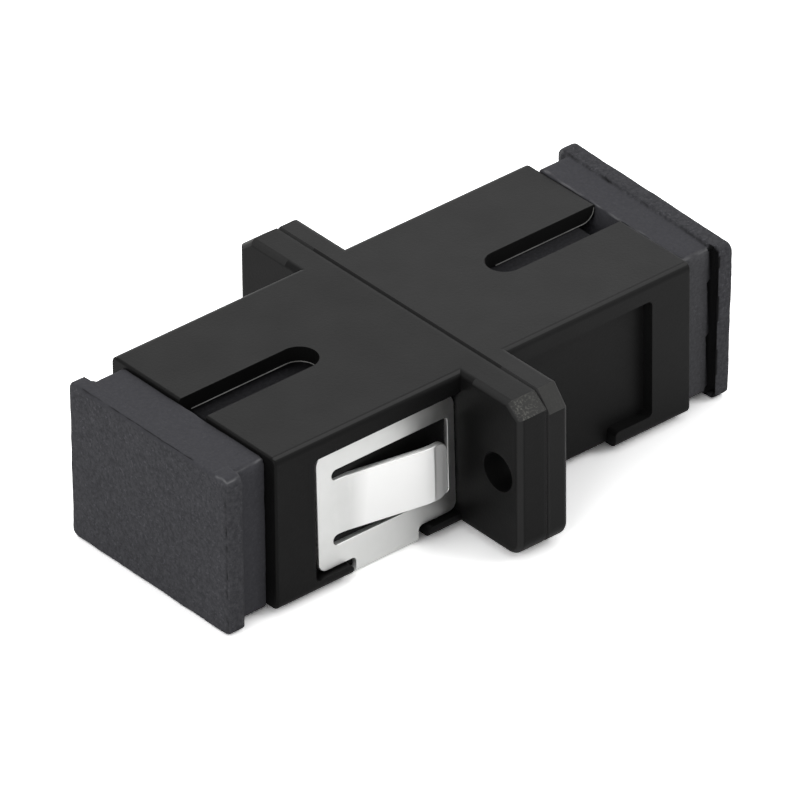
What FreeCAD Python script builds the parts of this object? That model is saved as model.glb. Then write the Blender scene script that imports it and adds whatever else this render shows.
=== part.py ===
"""SC fibre adapter: two welded housing halves, a spring clip, two sleeve holders
with their split sleeve, and a dust cap in each end.

Frame: millimetres, +Z up, X along the optical axis. X is 0 at the middle of
the flange and Z is 0 where the closed adapter rests.
"""
import FreeCAD, Part
import math
import os

import Sketcher

document = FreeCAD.newDocument("FibreAdapter")

# ---------------------------------------------------------------- dimensions
SIZES = {
    # housing halves, measured from the plane where the two halves are welded
    "left_length": 14.2,
    "right_length": 13.75,
    "body_width": 13.0,
    "body_height": 9.2,
    "top_wall": 0.9,
    "side_wall": 2.0,
    "edge_round": 0.4,
    "mouth_round": 0.15,
    "mouth_lead": 0.5,
    # flange
    "left_flange": 1.9,
    "right_flange": 1.4,
    "ear_margin": 1.7,
    "flange_round": 0.35,
    "flange_foot_round": 1.0,
    "corner_run": 0.95,
    "left_corner_drop": 0.75,
    "right_corner_drop": 1.15,
    "weld_groove": 0.12,
    "screw_hole": 2.2,
    "screw_pitch": 18.8,
    # key slots in the top wall
    "key_slot_width": 2.1,
    "key_slot_length": 8.1,
    # seats of the spring clip in the housing's sides
    "seat_depth": 0.7,
    "seat_head": 8.05,
    "left_sill": 0.65,
    "right_sill": 0.95,
    "seat_round": 0.3,
    "clip_clearance": 0.1,
    "clip_end_gap": 0.5,
    "notch_clearance": 0.45,
    # spring clip
    "sheet": 0.35,
    "bend_inside": 0.15,
    "wing_length": 9.1,
    "wing_round": 0.85,
    "wing_foot_round": 0.5,
    "bridge_width": 4.2,
    "bridge_root_round": 0.25,
    "window_far_margin": 1.0,
    "window_near_margin": 0.42,
    "window_round": 0.2,
    "tongue_width": 3.3,
    "tongue_slot": 0.6,
    "tongue_height": 4.25,
    "tongue_rise": 1.0,
    "tongue_tip_gap": 0.8,
    "tongue_tip_length": 1.1,
    "tongue_tip_fall": 0.1,
    "tongue_tip_round": 0.6,
    "tongue_bend_round": 0.9,
    # sleeve holders, clamped between the halves
    "holder_width": 10.6,
    "holder_height": 7.3,
    "holder_plate": 1.25,
    "holder_round": 0.3,
    "holder_clearance": 0.05,
    "barrel_diameter": 4.6,
    "barrel_lip": 0.6,
    "barrel_lead": 0.25,
    "lip_bore": 2.9,
    "latch_inside": 3.0,
    "latch_thickness": 0.85,
    "latch_width": 3.2,
    "latch_reach": 9.6,
    "latch_root_round": 0.4,
    "hook_depth": 0.55,
    "hook_length": 1.9,
    "hook_land": 0.5,
    # split sleeve
    "sleeve_outside": 3.2,
    "sleeve_inside": 2.5,
    "sleeve_length": 11.4,
    "sleeve_slit": 0.5,
    "sleeve_clearance": 0.075,
    "sleeve_end_gap": 0.05,
    "sleeve_chamfer": 0.12,
    # dust caps
    "cap_plate_width": 12.7,
    "cap_plate_height": 9.5,
    "cap_plate": 1.05,
    "cap_plate_round": 0.5,
    "cap_edge_round": 0.2,
    "collar_width": 11.4,
    "collar_height": 9.2,
    "collar_length": 1.95,
    "collar_round": 0.4,
    "cap_sag": 0.25,
    "cap_twist": 1.8,
    "plug_play": 0.5,
    "plug_gap": 0.05,
    "plug_side_gap": 0.1,
    "plug_length": 9.0,
    "plug_round": 0.5,
    "neck_length": 1.05,
    "neck_depth": 0.8,
    "plug_nose": 0.5,
    "barrel_clearance": 0.2,
    "latch_clearance": 0.15,
    "latch_end_clearance": 0.3,
}

sheet = document.addObject("Spreadsheet::Sheet", "Sizes")
for row, (alias, number) in enumerate(SIZES.items(), start=1):
    sheet.set(f"A{row}", alias.replace("_", " "))
    sheet.set(f"B{row}", str(number))
    sheet.setAlias(f"B{row}", alias)
document.recompute()

PLACES = {
    # worked out from the sizes above
    "flange_span": "screw_pitch + 2 * ear_margin",
    "weld_plane": "(left_flange - right_flange) / 2",
    "cavity_width": "body_width - 2 * side_wall",
    "cavity_height": "body_height - 2 * top_wall",
    "axis_height": "cap_plate_height / 2 + cap_sag",
    "underside": "cap_plate_height / 2 + cap_sag - body_height / 2",
    "seat_inside": "body_width / 2 - seat_depth",
    "wing_face": "body_width / 2 - seat_depth + sheet",
    "wing_start": "(left_flange + right_flange) / 2 + clip_clearance",
    "wing_middle": "(left_flange + right_flange) / 2 + clip_clearance + wing_length / 2",
    "plug_height": "body_height - 2 * top_wall - plug_play",
    "plug_width": "body_width - 2 * side_wall - 2 * plug_side_gap",
    "half_sleeve": "sleeve_length / 2 + sleeve_end_gap",
}
first_place_row = len(SIZES) + 2
for row, (alias, formula) in enumerate(PLACES.items(), start=first_place_row):
    sheet.set(f"A{row}", alias.replace("_", " "))
    sheet.set(f"B{row}", "=" + formula)
    sheet.setAlias(f"B{row}", alias)
document.recompute()


# ------------------------------------------------------------------- helpers
def sized(expression):
    """The expression with each size's alias pointing at its cell in the sheet."""
    words = []
    word = ""
    for letter in expression + " ":
        if letter.isalnum() or letter == "_":
            word += letter
            continue
        words.append(f"Sizes.{word}" if word in SIZES or word in PLACES else word)
        words.append(letter)
        word = ""
    return "".join(words).strip()


def number(expression):
    """What an expression of sizes comes to now, in millimetres."""
    return float(sheet.evalExpression(sized(expression)))


def bind(thing, target, expression):
    """Tie a property or a sketch constraint to an expression of sizes."""
    thing.setExpression(target, sized(expression))


def sub_part(label, height="underside"):
    """A new body, named for its file, standing at a height above the rest plane."""
    body = document.addObject("PartDesign::Body", label)
    body.Label = label
    bind(body, ".Placement.Base.z", height)
    return body


def turn_half_round(body):
    """Face a body the other way along X, by half a turn about Z."""
    body.Placement.Rotation = FreeCAD.Rotation(FreeCAD.Vector(0, 0, 1), 180)


def plane_of(body, role):
    """One of the body's own origin planes or axes, such as XY_Plane or X_Axis."""
    return next(item for item in body.Origin.OriginFeatures if item.Role == role)


def new_sketch(body, name, role, offset="0", turn="0"):
    """A sketch on one of the body's origin planes, moved along its normal and turned about it."""
    sketch = body.newObject("Sketcher::SketchObject", f"{body.Label}_{name}")
    sketch.AttachmentSupport = [(plane_of(body, role), "")]
    sketch.MapMode = "FlatFace"
    bind(sketch, ".AttachmentOffset.Base.z", offset)
    bind(sketch, ".AttachmentOffset.Rotation.Angle", turn)
    return sketch


def pin_point(sketch, geometry, end, across, up):
    """Fix one end of a line at a place given by two expressions."""
    for kind, place in (("DistanceX", across), ("DistanceY", up)):
        constraint = Sketcher.Constraint(kind, -1, 1, geometry, end, number(place))
        index = sketch.addConstraint(constraint)
        bind(sketch, f"Constraints[{index}]", place)


def outline(sketch, corners):
    """A closed loop through corners, each (across, up) or (across, up, round)."""
    spots = [FreeCAD.Vector(number(c[0]), number(c[1]), 0) for c in corners]
    rounds = [c[2] if len(c) == 3 else None for c in corners]
    count = len(corners)
    guides = []
    for i in range(count):
        guide = sketch.addGeometry(Part.LineSegment(spots[i], spots[(i + 1) % count]), True)
        pin_point(sketch, guide, 1, corners[i][0], corners[i][1])
        guides.append(guide)
    for i in range(count):
        after = guides[(i + 1) % count]
        sketch.addConstraint(Sketcher.Constraint("Coincident", guides[i], 2, after, 1))
    trims = [corner_trim(spots, i, rounds[i]) for i in range(count)]
    edges = []
    for i in range(count):
        along = (spots[(i + 1) % count] - spots[i]).normalize()
        start = spots[i] + along * trims[i]
        finish = spots[(i + 1) % count] - along * trims[(i + 1) % count]
        edge = sketch.addGeometry(Part.LineSegment(start, finish), False)
        for end, corner in ((1, i), (2, (i + 1) % count)):
            if rounds[corner] is None:
                fixed = Sketcher.Constraint("Coincident", edge, end, guides[corner], 1)
            else:
                fixed = Sketcher.Constraint("PointOnObject", edge, end, guides[i])
            sketch.addConstraint(fixed)
        edges.append(edge)
    for i in range(count):
        if rounds[i] is not None:
            round_corner(sketch, spots, i, edges[i - 1], edges[i], rounds[i], trims[i])


def corner_trim(spots, i, radius):
    """How much of each side a rounded corner takes."""
    if radius is None:
        return 0.0
    before = spots[i] - spots[i - 1]
    after = spots[(i + 1) % len(spots)] - spots[i]
    return number(radius) * math.tan(before.getAngle(after) / 2)


def round_corner(sketch, spots, i, edge_in, edge_out, radius, trim):
    """The arc of one rounded corner, tangent to the two sides that it joins."""
    before = (spots[i] - spots[i - 1]).normalize()
    after = (spots[(i + 1) % len(spots)] - spots[i]).normalize()
    left = 1 if before.cross(after).z > 0 else -1
    size = number(radius)
    centre = spots[i] - before * trim + FreeCAD.Vector(-before.y, before.x, 0) * size * left
    circle = Part.Circle(centre, FreeCAD.Vector(0, 0, 1), size)
    first = circle.parameter(spots[i] - before * trim)
    last = circle.parameter(spots[i] + after * trim)
    near, far = (1, 2) if left == 1 else (2, 1)
    if left == -1:
        first, last = last, first
    arc = sketch.addGeometry(Part.ArcOfCircle(circle, first, last), False)
    sketch.addConstraint(Sketcher.Constraint("Tangent", edge_in, 2, arc, near))
    sketch.addConstraint(Sketcher.Constraint("Tangent", edge_out, 1, arc, far))
    index = sketch.addConstraint(Sketcher.Constraint("Radius", arc, size))
    bind(sketch, f"Constraints[{index}]", radius)


def rectangle(sketch, left, right, low, high, radius=None):
    """A rectangle between four expressions, its corners rounded if radius is given."""
    corners = [(left, low), (right, low), (right, high), (left, high)]
    outline(sketch, [c if radius is None else (*c, radius) for c in corners])


def hole(sketch, across, up, diameter):
    """A circle with its centre at a place given by two expressions."""
    centre = FreeCAD.Vector(number(across), number(up), 0)
    size = number(diameter) / 2
    ring = sketch.addGeometry(Part.Circle(centre, FreeCAD.Vector(0, 0, 1), size), False)
    pin_point(sketch, ring, 3, across, up)
    index = sketch.addConstraint(Sketcher.Constraint("Diameter", ring, 2 * size))
    bind(sketch, f"Constraints[{index}]", diameter)


def extrude(body, kind, sketch, length=None, backward=False, both_ways=False):
    """A pad or a pocket of a sketch; with no length, a pocket goes through all."""
    feature = body.newObject(f"PartDesign::{kind}", f"{sketch.Name}_{kind.lower()}")
    feature.Profile = sketch
    feature.Midplane = both_ways
    feature.Reversed = backward
    if length is None:
        feature.Type = "ThroughAll"
    else:
        bind(feature, "Length", length)
    sketch.Visibility = False
    return feature


def mirror(body, feature, role="XZ_Plane"):
    """The same feature again on the other side of one of the body's planes."""
    mirrored = body.newObject("PartDesign::Mirrored", f"{feature.Name}_mirrored")
    mirrored.Originals = [feature]
    mirrored.MirrorPlane = (plane_of(body, role), [""])
    body.Tip = mirrored
    return mirrored


def dress(body, kind, name, choose, size):
    """A fillet or chamfer on the edges of the body's tip that choose accepts."""
    document.recompute()
    base = body.Tip
    edges = [f"Edge{i}" for i, edge in enumerate(base.Shape.Edges, start=1) if choose(edge)]
    if not edges:
        raise RuntimeError(f"{body.Label}: no edge found for {name}")
    feature = body.newObject(f"PartDesign::{kind}", f"{body.Label}_{name}")
    feature.Base = (base, edges)
    bind(feature, "Radius" if kind == "Fillet" else "Size", size)
    return feature


def lies_at(edge, **place):
    """Whether every end of an edge has these coordinates, such as x=0."""
    points = [vertex.Point for vertex in edge.Vertexes]
    return all(abs(getattr(p, axis) - at) < 1e-4 for axis, at in place.items() for p in points)


def runs_along(edge, axis):
    """Whether an edge is a straight line along x, y or z."""
    if edge.Curve.TypeId != "Part::GeomLine":
        return False
    return abs(abs(getattr(edge.tangentAt(edge.FirstParameter), axis)) - 1) < 1e-6


# ------------------------------------------------------------- housing halves
def housing_half(side, other_way):
    """One moulded half. X runs from the weld plane to the mouth, Z from the underside."""
    length = f"{side}_length"
    flange = f"{side}_flange"
    body = sub_part(f"{side}_housing")
    bind(body, ".Placement.Base.x", "weld_plane")
    if other_way:
        turn_half_round(body)
    half_width = "body_width / 2"

    ears = new_sketch(body, "ears", "YZ_Plane")
    span = "flange_span / 2"
    drop = f"{side}_corner_drop"
    outline(ears, [
        (f"-{span}", "0", "flange_foot_round"),
        (span, "0", "flange_foot_round"),
        (span, f"body_height - {drop}"),
        (f"{span} - corner_run", "body_height"),
        (f"corner_run - {span}", "body_height"),
        (f"-{span}", f"body_height - {drop}"),
    ])
    extrude(body, "Pad", ears, flange)
    ear_root = number(f"{span} - corner_run") - 0.001
    ear_face = number(flange)
    dress(body, "Fillet", "ear_edges",
          lambda e: lies_at(e, x=ear_face) and all(
              abs(v.Point.y) > ear_root for v in e.Vertexes),
          "flange_round")

    block = new_sketch(body, "block", "YZ_Plane")
    rectangle(block, f"-{half_width}", half_width, "0", "body_height", "edge_round")
    extrude(body, "Pad", block, length)
    mouth = number(length)
    dress(body, "Fillet", "mouth_edges", lambda e: lies_at(e, x=mouth), "mouth_round")

    dress(body, "Chamfer", "weld_edges", lambda e: lies_at(e, x=0), "weld_groove")

    cavity = new_sketch(body, "cavity", "YZ_Plane")
    rectangle(cavity, "-cavity_width / 2", "cavity_width / 2",
              "top_wall", "body_height - top_wall")
    extrude(body, "Pocket", cavity, backward=True)
    inside_width = number("cavity_width / 2") + 0.001
    dress(body, "Fillet", "mouth_lead",
          lambda e: lies_at(e, x=mouth) and all(
              abs(v.Point.y) < inside_width for v in e.Vertexes) and all(
              number("edge_round") < v.Point.z < number("body_height - edge_round")
              for v in e.Vertexes),
          "mouth_lead")

    holder_room = new_sketch(body, "holder_room", "YZ_Plane")
    room = "holder_width / 2 + holder_clearance"
    middle = "body_height / 2"
    rectangle(holder_room, f"-({room})", room,
              f"{middle} - holder_height / 2 - holder_clearance",
              f"{middle} + holder_height / 2 + holder_clearance")
    share = "weld_plane" if side == "left" else "-weld_plane"
    extrude(body, "Pocket", holder_room, f"holder_plate + {share}", backward=True)

    key_slot = new_sketch(body, "key_slot", "XY_Plane", "body_height")
    slot_end = f"{length} - key_slot_length"
    rectangle(key_slot, slot_end, f"{length} + key_slot_width",
              "-key_slot_width / 2", "key_slot_width / 2", "key_slot_width * 0.499")
    extrude(body, "Pocket", key_slot, "body_height / 2")

    screw_holes = new_sketch(body, "screw_holes", "YZ_Plane")
    for way in ("-", ""):
        hole(screw_holes, f"{way}screw_pitch / 2", middle, "screw_hole")
    extrude(body, "Pocket", screw_holes, backward=True)

    seat = new_sketch(body, "seat", "XZ_Plane", half_width)
    from_flange = "- weld_plane" if side == "right" else "+ weld_plane"
    seat_end = f"wing_start + wing_length + clip_end_gap {from_flange}"
    notch_low = f"wing_middle - bridge_width / 2 - notch_clearance {from_flange}"
    notch_high = f"wing_middle + bridge_width / 2 + notch_clearance {from_flange}"
    sill = f"{side}_sill"
    outline(seat, [
        (flange, sill),
        (notch_low, sill, "bridge_root_round"),
        (notch_low, "-sheet"),
        (notch_high, "-sheet"),
        (notch_high, sill, "bridge_root_round"),
        (seat_end, sill, "seat_round"),
        (seat_end, "seat_head", "seat_round"),
        (flange, "seat_head"),
    ])
    seat_pocket = extrude(body, "Pocket", seat, "seat_depth")
    mirror(body, seat_pocket)
    floor_at = number("seat_inside")
    dress(body, "Fillet", "notch_edges",
          lambda e: runs_along(e, "x") and lies_at(e, z=0) and any(
              lies_at(e, y=way * floor_at) for way in (-1, 1)),
          "bend_inside + clip_clearance")
    return body


left_housing = housing_half("left", other_way=True)
right_housing = housing_half("right", other_way=False)
document.recompute()


# ------------------------------------------------------------ sleeve holders
def sleeve_holder(side, other_way):
    """A plate with the sleeve's barrel and two hooked latch arms, moulded as one.

    X runs from the plate's back, at the flange's middle, towards the mouth.
    """
    body = sub_part(f"{side}_sleeve_holder", "axis_height")
    if other_way:
        turn_half_round(body)

    plate = new_sketch(body, "plate", "YZ_Plane")
    rectangle(plate, "-holder_width / 2", "holder_width / 2",
              "-holder_height / 2", "holder_height / 2", "holder_round")
    extrude(body, "Pad", plate, "holder_plate")

    barrel = new_sketch(body, "barrel", "YZ_Plane")
    hole(barrel, "0", "0", "barrel_diameter")
    extrude(body, "Pad", barrel, "half_sleeve + barrel_lip")

    arm = new_sketch(body, "latch", "XY_Plane")
    hook_start = "latch_reach - hook_length"
    hook_tip = "latch_inside - hook_depth"
    outside = "latch_inside + latch_thickness"
    outline(arm, [
        ("0", "latch_inside"),
        (hook_start, "latch_inside"),
        (f"{hook_start} + hook_depth / 4", hook_tip),
        (f"{hook_start} + hook_depth / 4 + hook_land", hook_tip),
        ("latch_reach", f"{outside} - latch_thickness / 2"),
        ("latch_reach", outside, "latch_thickness / 4"),
        ("0", outside),
    ])
    latch = extrude(body, "Pad", arm, "latch_width", both_ways=True)
    mirror(body, latch)
    plate_face = number("holder_plate")
    roots = [number("latch_inside"), number(outside)]
    dress(body, "Fillet", "latch_roots",
          lambda e: runs_along(e, "z") and any(
              lies_at(e, x=plate_face, y=way * root) for way in (-1, 1) for root in roots),
          "latch_root_round")

    bore = new_sketch(body, "bore", "XY_Plane")
    sleeve_room = "sleeve_outside / 2 + sleeve_clearance"
    end = "half_sleeve + barrel_lip"
    outline(bore, [
        ("0", "0"),
        (end, "0"),
        (end, "lip_bore / 2 + barrel_lead"),
        (f"{end} - barrel_lead", "lip_bore / 2"),
        ("half_sleeve", "lip_bore / 2"),
        ("half_sleeve", sleeve_room),
        ("0", sleeve_room),
    ])
    groove = body.newObject("PartDesign::Groove", f"{body.Label}_bore_groove")
    groove.Profile = bore
    groove.ReferenceAxis = (bore, ["H_Axis"])
    groove.Angle = 360
    return body


left_holder = sleeve_holder("left", other_way=True)
right_holder = sleeve_holder("right", other_way=False)


# -------------------------------------------------------------- split sleeve
def split_sleeve():
    """The slit tube that lines up the two ferrules, centred on the optical axis."""
    body = sub_part("split_sleeve", "axis_height")
    ring = new_sketch(body, "ring", "YZ_Plane")
    hole(ring, "0", "0", "sleeve_outside")
    hole(ring, "0", "0", "sleeve_inside")
    extrude(body, "Pad", ring, "sleeve_length", both_ways=True)
    dress(body, "Chamfer", "mouth_edges", lambda e: not runs_along(e, "x"), "sleeve_chamfer")
    slit = new_sketch(body, "slit", "XY_Plane")
    rectangle(slit, "-sleeve_length", "sleeve_length", "-sleeve_slit / 2", "sleeve_slit / 2")
    extrude(body, "Pocket", slit, "sleeve_outside", backward=True)
    return body


sleeve = split_sleeve()


# --------------------------------------------------------------- spring clip
def spring_clip():
    """One folded sheet: a bridge under the housing, a wing and a sprung tongue each side.

    Z is 0 at the housing's underside, and the clip sits on the -X half.
    """
    body = sub_part("spring_clip")
    tab_top = "left_sill + clip_clearance + wing_foot_round"
    bend_outside = "bend_inside + sheet"

    bridge = new_sketch(body, "bridge", "YZ_Plane", "-wing_middle - bridge_width / 2")
    inside = "wing_face - sheet"
    outline(bridge, [
        ("-wing_face", tab_top),
        ("-wing_face", "-sheet", bend_outside),
        ("wing_face", "-sheet", bend_outside),
        ("wing_face", tab_top),
        (inside, tab_top),
        (inside, "0", "bend_inside"),
        (f"-({inside})", "0", "bend_inside"),
        (f"-({inside})", tab_top),
    ])
    extrude(body, "Pad", bridge, "bridge_width")

    wing = new_sketch(body, "wing", "XZ_Plane", inside)
    far = "-(wing_start + wing_length)"
    foot = "left_sill + clip_clearance"
    head = "seat_head - clip_clearance"
    tab_low = "bend_inside"
    outline(wing, [
        (far, head, "wing_round"),
        (far, foot, "wing_foot_round"),
        ("-wing_middle - bridge_width / 2", foot, "bridge_root_round"),
        ("-wing_middle - bridge_width / 2", tab_low),
        ("bridge_width / 2 - wing_middle", tab_low),
        ("bridge_width / 2 - wing_middle", foot, "bridge_root_round"),
        ("-wing_start", foot, "wing_foot_round"),
        ("-wing_start", head, "wing_round"),
    ])
    mirror(body, extrude(body, "Pad", wing, "sheet"))

    window = new_sketch(body, "window", "XZ_Plane")
    slot_end = "window_far_margin - wing_start - wing_length"
    root = f"{slot_end} + tongue_slot / 2"
    window_near = "-(wing_start + window_near_margin)"
    low = "tongue_height - tongue_width / 2"
    high = "tongue_height + tongue_width / 2"
    slot_round = "tongue_slot * 0.499"
    outline(window, [
        (root, low),
        (slot_end, low, slot_round),
        (slot_end, f"{low} - tongue_slot", slot_round),
        (window_near, f"{low} - tongue_slot", "window_round"),
        (window_near, f"{high} + tongue_slot", "window_round"),
        (slot_end, f"{high} + tongue_slot", slot_round),
        (slot_end, high, slot_round),
        (root, high),
    ])
    extrude(body, "Pocket", window, both_ways=True)

    tongue = new_sketch(body, "tongue", "XY_Plane", "tongue_height")
    tip = f"{window_near} - tongue_tip_gap"
    crest = f"{tip} - tongue_tip_length"
    crest_at = "wing_face + tongue_rise"
    outline(tongue, [
        (root, "-wing_face"),
        (root, f"-({inside})"),
        (f"{root} + sheet", f"-({inside})", "tongue_bend_round"),
        (crest, f"-({crest_at} - sheet)", "tongue_bend_round"),
        (tip, f"-({crest_at} - sheet - tongue_tip_fall)"),
        (tip, f"-({crest_at} - tongue_tip_fall)"),
        (crest, f"-({crest_at})", "tongue_bend_round + sheet"),
        (f"{root} + sheet", "-wing_face", "tongue_bend_round - sheet"),
    ])
    mirror(body, extrude(body, "Pad", tongue, "tongue_width", both_ways=True))
    tip_at = number(tip)
    edge_heights = [number(low), number(high)]
    dress(body, "Fillet", "tongue_tips",
          lambda e: runs_along(e, "y") and any(
              lies_at(e, x=tip_at, z=level) for level in edge_heights),
          "tongue_tip_round")
    return body


clip = spring_clip()


# ----------------------------------------------------------------- dust caps
def dust_cap(side, other_way):
    """A moulded elastomer cap. X runs from the housing's end face outwards, Z from its axis."""
    body = sub_part(f"{side}_dust_cap", "axis_height")
    if other_way:
        bind(body, ".Placement.Base.x", "weld_plane - left_length")
        turn_half_round(body)
    else:
        bind(body, ".Placement.Base.x", "weld_plane + right_length")

    # one cap hangs level and low, and the other sits level with the axis but twisted
    level = "-cap_sag" if side == "left" else "0"
    twist = "0" if side == "left" else "cap_twist"
    collar = new_sketch(body, "collar", "YZ_Plane", turn=twist)
    rectangle(collar, "-collar_width / 2", "collar_width / 2",
              f"{level} - collar_height / 2", f"{level} + collar_height / 2", "collar_round")
    extrude(body, "Pad", collar, "collar_length")

    plate = new_sketch(body, "plate", "YZ_Plane", "collar_length", twist)
    rectangle(plate, "-cap_plate_width / 2", "cap_plate_width / 2",
              f"{level} - cap_plate_height / 2", f"{level} + cap_plate_height / 2", "cap_plate_round")
    extrude(body, "Pad", plate, "cap_plate")
    rim = number("collar_length + cap_plate")
    dress(body, "Fillet", "plate_edges", lambda e: lies_at(e, x=rim), "cap_edge_round")

    # the soft plug lies on the mouth's floor at one end and is bent up at the other
    lean = "(plug_play / 2 - plug_gap)"
    rise = f"-{lean}" if side == "left" else lean
    neck = new_sketch(body, "neck", "YZ_Plane")
    rectangle(neck, "neck_depth - plug_width / 2", "plug_width / 2 - neck_depth",
              f"{rise} + neck_depth - plug_height / 2", f"{rise} + plug_height / 2 - neck_depth")
    extrude(body, "Pad", neck, "plug_length", backward=True)

    plug = new_sketch(body, "plug", "YZ_Plane", "-neck_length")
    rectangle(plug, "-plug_width / 2", "plug_width / 2",
              f"{rise} - plug_height / 2", f"{rise} + plug_height / 2", "plug_round")
    extrude(body, "Pad", plug, "plug_length - neck_length", backward=True)
    nose = number("-plug_length")
    plug_edge = number("plug_width / 2 - neck_depth")
    dress(body, "Chamfer", "plug_nose",
          lambda e: lies_at(e, x=nose) and max(abs(v.Point.y) for v in e.Vertexes) > plug_edge,
          "plug_nose")

    hollow = new_sketch(body, "hollow", "YZ_Plane", "-plug_length")
    reach = "latch_inside + latch_thickness + latch_clearance"
    tall = "barrel_diameter / 2 + barrel_clearance"
    rectangle(hollow, f"-({reach})", reach, f"-({tall})", tall)
    mouth = "weld_plane + right_length" if side == "right" else "left_length - weld_plane"
    depth = f"latch_reach + latch_end_clearance - ({mouth} - plug_length)"
    extrude(body, "Pocket", hollow, depth, backward=True)
    return body


left_cap = dust_cap("left", other_way=True)
right_cap = dust_cap("right", other_way=False)


# ---------------------------------------------------------- check and export
document.recompute()
CUTS = ("PartDesign::Pocket", "PartDesign::Groove")
pieces = [thing for thing in document.Objects if thing.TypeId == "PartDesign::Body"]
for thing in document.Objects:
    if "Invalid" in thing.State or "Error" in thing.State:
        raise RuntimeError(f"{thing.Name} did not build: {thing.State}")
for piece in pieces:
    if piece.Shape.isNull() or not piece.Shape.isValid() or len(piece.Shape.Solids) != 1:
        raise RuntimeError(f"{piece.Label} is not one valid solid")
    volume = 0.0
    for feature in piece.Group:
        if not feature.TypeId.startswith("PartDesign::"):
            continue
        grew = feature.Shape.Volume - volume
        if feature.TypeId == "PartDesign::Pad" and grew <= 0:
            raise RuntimeError(f"{feature.Name} adds nothing")
        if feature.TypeId in CUTS and grew >= 0:
            raise RuntimeError(f"{feature.Name} cuts nothing")
        volume = feature.Shape.Volume

os.makedirs("parts", exist_ok=True)
for piece in pieces:
    piece.Shape.exportStep(f"parts/{piece.Label}.step")
    print(f"{piece.Label}: {piece.Shape.Volume:.2f} cubic millimetres")
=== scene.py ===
from math import cos, exp, pi, radians, sin

import bmesh
import bpy
from mathutils import Matrix, Vector, geometry, noise


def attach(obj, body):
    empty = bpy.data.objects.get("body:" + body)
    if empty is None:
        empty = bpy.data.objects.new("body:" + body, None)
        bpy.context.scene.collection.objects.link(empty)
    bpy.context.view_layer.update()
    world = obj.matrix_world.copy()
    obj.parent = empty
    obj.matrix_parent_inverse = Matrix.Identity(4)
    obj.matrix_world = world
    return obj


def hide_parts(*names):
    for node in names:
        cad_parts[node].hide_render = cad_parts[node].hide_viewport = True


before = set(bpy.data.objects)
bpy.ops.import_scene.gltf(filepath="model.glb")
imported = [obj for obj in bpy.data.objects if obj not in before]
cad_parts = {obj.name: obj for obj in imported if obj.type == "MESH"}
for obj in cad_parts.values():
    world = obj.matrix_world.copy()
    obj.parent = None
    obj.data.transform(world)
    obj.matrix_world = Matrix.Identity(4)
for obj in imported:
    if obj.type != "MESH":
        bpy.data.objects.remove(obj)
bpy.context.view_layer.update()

# ---------------------------------------------------------------- split sleeve
# The tube that lines the two fibre ends up: zirconia ceramic, centreless
# ground, with one slit so that it grips the ferrules. It floats in the two
# holders' barrels, and only its slit and ends show, through the bores.
SLEEVE_WHITE = "#efebe1"
GRINDING_RING = 0.15
GRINDING_RUN = 50.0
GRINDING_DEPTH = 0.01


def linear(code):
    """An sRGB hex colour as the linear colour that a socket takes."""
    parts = [int(code[place : place + 2], 16) / 255 for place in (1, 3, 5)]
    return [
        part / 12.92 if part <= 0.04045 else ((part + 0.055) / 1.055) ** 2.4 for part in parts
    ] + [1.0]


def metres(millimetres):
    """A length in millimetres as the metres that Blender takes."""
    return millimetres / 1000


def per_metre(millimetres):
    """How often a pattern repeats in a metre when one repeat is this long."""
    return 1000.0 / millimetres


def add_node(material, kind, sockets=None, links=None, **properties):
    """Add a node with its properties, its socket values and what feeds its sockets."""
    node = material.node_tree.nodes.new(kind)
    for name, value in properties.items():
        setattr(node, name, value)
    for name, value in (sockets or {}).items():
        node.inputs[name].default_value = value
    for name, feed in (links or {}).items():
        material.node_tree.links.new(feed, node.inputs[name])
    return node


def new_material(name):
    """An empty material and its object coordinates, which are metres in the frame."""
    material = bpy.data.materials.new(name)
    material.use_nodes = True
    material.node_tree.nodes.clear()
    place = add_node(material, "ShaderNodeTexCoord").outputs["Object"]
    return material, place


def close_material(material, surface, links):
    """Put the Principled surface on the material, with its constants and its links."""
    shader = add_node(material, "ShaderNodeBsdfPrincipled", surface, links)
    add_node(material, "ShaderNodeOutputMaterial", links={"Surface": shader.outputs["BSDF"]})


def dress(piece, *materials):
    """Give a piece these materials. Its faces take the first unless they name another."""
    piece.data.materials.clear()
    for material in materials:
        piece.data.materials.append(material)


# Grinding leaves the ceramic glossy, with faint rings round it. Real rings lie
# closer together than this and are drawn coarser, so that they show.
zirconia, place = new_material("zirconia_ceramic_centreless_ground")
rings = add_node(
    zirconia, "ShaderNodeMapping",
    {"Scale": (per_metre(GRINDING_RING), per_metre(GRINDING_RUN), per_metre(GRINDING_RUN))},
    {"Vector": place},
)
ring_noise = add_node(
    zirconia, "ShaderNodeTexNoise", {"Scale": 1.0, "Detail": 2.0},
    {"Vector": rings.outputs["Vector"]},
)
ring_bump = add_node(
    zirconia, "ShaderNodeBump", {"Strength": 0.15, "Distance": metres(GRINDING_DEPTH)},
    {"Height": ring_noise.outputs["Fac"]},
)
close_material(
    zirconia,
    {"Base Color": linear(SLEEVE_WHITE), "Roughness": 0.16, "IOR": 2.15},
    {"Normal": ring_bump.outputs["Normal"]},
)
dress(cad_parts["split_sleeve"], zirconia)

# -------------------------------------------------------------- sleeve holders
# One holder in each socket: a plate with a barrel for half the sleeve and two
# sprung latches that hook the plug, moulded in one piece of black PBT.
HOLDER_BLACK = "#1b1b1c"
HOLDER_HAZE = "#232324"
HOLDER_ROUGHNESS = {"To Min": 0.24, "To Max": 0.36}
HAZE_SIZE = 1.6

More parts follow.
